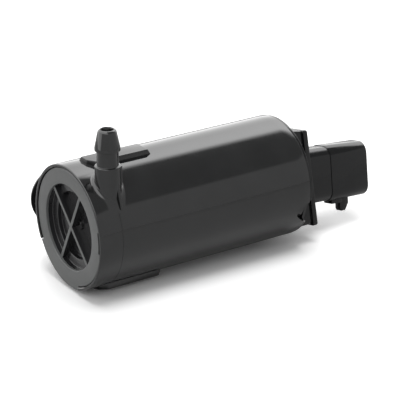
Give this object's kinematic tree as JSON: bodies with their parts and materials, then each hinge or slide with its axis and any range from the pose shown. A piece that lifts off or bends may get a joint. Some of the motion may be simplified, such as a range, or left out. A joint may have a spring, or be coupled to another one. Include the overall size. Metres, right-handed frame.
{
  "type": "windshield washer pump",
  "caption": "Cylindrical washer pump with an upright hose barb, a side inlet spigot, locking ramps, a cross-ribbed end cap and an offset socket on its rear cap.",
  "frame": {"origin": "centre of the end cap's flat face, on the pump's axis", "axes": "+X along the pump to the connector, +Y out of the inlet spigot, +Z out of the outlet barb"},
  "size_m": [0.1058, 0.0436, 0.0527],
  "materials": {
    "black_moulding": "glossy black injection moulding",
    "cap_moulding": "satin black moulding that looks grey in the light",
    "connector_moulding": "semi-gloss black moulding",
    "inner_moulding": "black moulding",
    "impeller_moulding": "natural acetal",
    "filter_moulding": "black moulding",
    "seal_rubber": "black nitrile rubber",
    "plain_steel": "ground steel",
    "can_steel": "zinc plated drawn steel",
    "bearing_bronze": "sintered bronze",
    "ferrite": "sintered ferrite",
    "bell_moulding": "phenolic moulding",
    "carbon": "pressed carbon",
    "contact_brass": "tinned brass strip",
    "core_steel": "lacquered electrical steel",
    "copper_wire": "enamelled copper wire",
    "copper_bar": "turned copper",
    "fibre": "fibre washer"
  },
  "bodies": {
    "casing": {"housing": "black_moulding", "end_cap": "cap_moulding", "volute_insert": "inner_moulding", "inlet_filter": "filter_moulding", "shaft_seal": "seal_rubber", "seal_washer": "plain_steel", "motor_can": "can_steel", "front_bearing": "bearing_bronze", "rear_bearing": "bearing_bronze", "magnet_upper": "ferrite", "magnet_lower": "ferrite", "magnet_clip_left": "plain_steel", "magnet_clip_right": "plain_steel", "end_bell": "bell_moulding", "brush_upper": "carbon", "brush_lower": "carbon", "brush_arm_upper": "contact_brass", "brush_arm_lower": "contact_brass", "motor_terminal_upper": "contact_brass", "motor_terminal_lower": "contact_brass", "connector_cap": "connector_moulding", "cap_seal": "seal_rubber", "connector_blade_upper": "contact_brass", "connector_blade_lower": "contact_brass"},
    "rotor": {"rotor_shaft": "plain_steel", "impeller": "impeller_moulding", "armature_core": "core_steel", "winding_1": "copper_wire", "winding_2": "copper_wire", "winding_3": "copper_wire", "commutator_hub": "bell_moulding", "commutator_segments": "copper_bar", "thrust_washer_front": "fibre", "thrust_washer_rear": "fibre"}
  },
  "joints": [
    {"name": "rotor_spin", "type": "hinge", "parent": "casing", "child": "rotor", "pos_m": [0.03, 0, 0], "axis": [1, 0, 0], "continuous": true}
  ]
}
